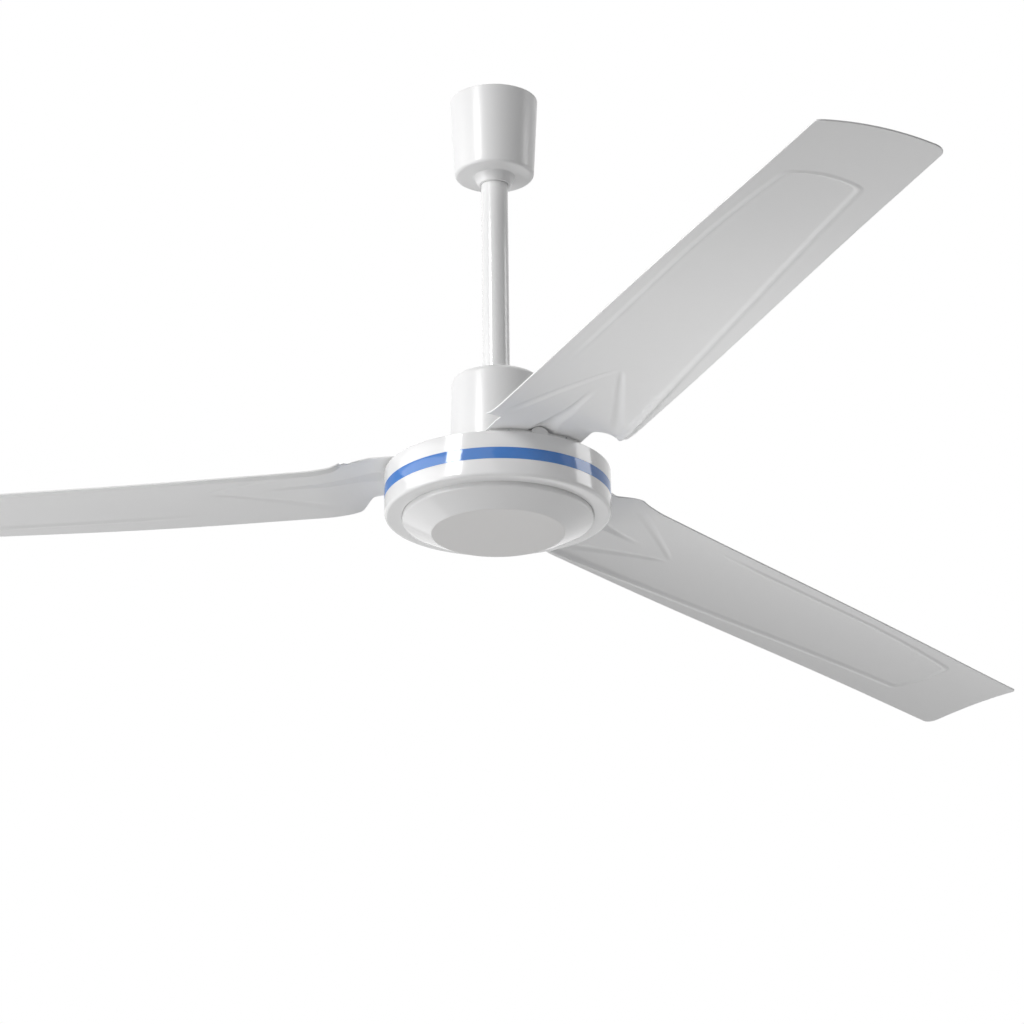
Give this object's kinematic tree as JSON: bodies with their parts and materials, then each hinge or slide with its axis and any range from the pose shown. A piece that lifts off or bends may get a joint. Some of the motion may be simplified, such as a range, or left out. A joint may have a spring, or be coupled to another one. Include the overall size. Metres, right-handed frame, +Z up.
{
  "type": "ceiling fan",
  "caption": "White ceiling fan that hangs from a bracket on a rod, with covers at both ends, a flat motor drum with a blue stripe, and long pitched metal blades that turn with the drum.",
  "frame": {"origin": "centre of the bracket plate's top face, on the ceiling and on the fan's axis", "axes": "+Z up along the rod, +X along the line of the two ceiling holes, one blade along -X"},
  "size_m": [1.0918, 1.2542, 0.3848],
  "materials": {
    "zinc_steel": "zinc-plated, satin",
    "bright_steel": "ground, bright",
    "roller_rubber": "matt black",
    "rod_paint": "gloss white enamel",
    "core_steel": "stacked sheet, bare",
    "rotor_steel": "stacked sheet with cast bars",
    "winding_copper": "varnished copper wire",
    "lead_sheath": "matt sheath",
    "capacitor_case": "matt black",
    "terminal_case": "satin cream",
    "drum_paint": "gloss white enamel",
    "band_blue": "gloss blue stripe",
    "cover_plastic": "semi-gloss white",
    "canopy_plastic": "gloss white",
    "blade_paint": "satin white enamel"
  },
  "bodies": {
    "ceiling_mount": {"ceiling_bracket": "zinc_steel", "hanger_bolt": "zinc_steel", "hanger_nut": "zinc_steel", "hanger_cotter": "zinc_steel", "hanger_roller": "roller_rubber"},
    "downrod": {"hanger_shackle": "zinc_steel", "shackle_bolt": "zinc_steel", "shackle_nut": "zinc_steel", "shackle_cotter": "zinc_steel", "downrod": "rod_paint", "coupling_bolt": "zinc_steel", "coupling_nut": "zinc_steel", "coupling_cotter": "zinc_steel", "motor_shaft": "bright_steel", "shaft_spacer": "bright_steel", "shaft_circlips": "bright_steel", "stator_core": "core_steel", "stator_windings": "winding_copper", "upper_bearing_inner_race": "bright_steel", "lower_bearing_inner_race": "bright_steel", "wiring_plate": "zinc_steel", "capacitor": "capacitor_case", "terminal_block": "terminal_case", "terminal_screws": "zinc_steel", "motor_lead": "lead_sheath"},
    "rotor": {"drum_pan": "drum_paint", "top_cover": "drum_paint", "blue_band": "band_blue", "rotor_ring": "rotor_steel", "upper_bearing_outer_race": "bright_steel", "lower_bearing_outer_race": "bright_steel", "upper_bearing_balls": "bright_steel", "lower_bearing_balls": "bright_steel", "bottom_cover": "cover_plastic", "housing_bolts": "zinc_steel", "blade_1": "blade_paint", "blade_2": "blade_paint", "blade_3": "blade_paint", "blade_screws": "zinc_steel", "blade_washers": "zinc_steel"},
    "upper_canopy": {"upper_canopy": "canopy_plastic", "canopy_screw": "zinc_steel"},
    "lower_canopy": {"lower_canopy": "canopy_plastic", "cup_screw": "zinc_steel"}
  },
  "joints": [
    {"name": "rod_sway", "type": "hinge", "parent": "ceiling_mount", "child": "downrod", "pos_m": [0, 0, -0.024], "axis": [1, 0, 0], "range_deg": [-4, 4]},
    {"name": "rotor_spin", "type": "hinge", "parent": "downrod", "child": "rotor", "pos_m": [0, 0, -0.333], "axis": [0, 0, 1], "continuous": true},
    {"name": "upper_canopy_slide", "type": "slide", "parent": "downrod", "child": "upper_canopy", "axis": [0, 0, 1], "range_m": [-0.075, 0]},
    {"name": "lower_canopy_slide", "type": "slide", "parent": "downrod", "child": "lower_canopy", "axis": [0, 0, 1], "range_m": [0, 0.08]}
  ]
}
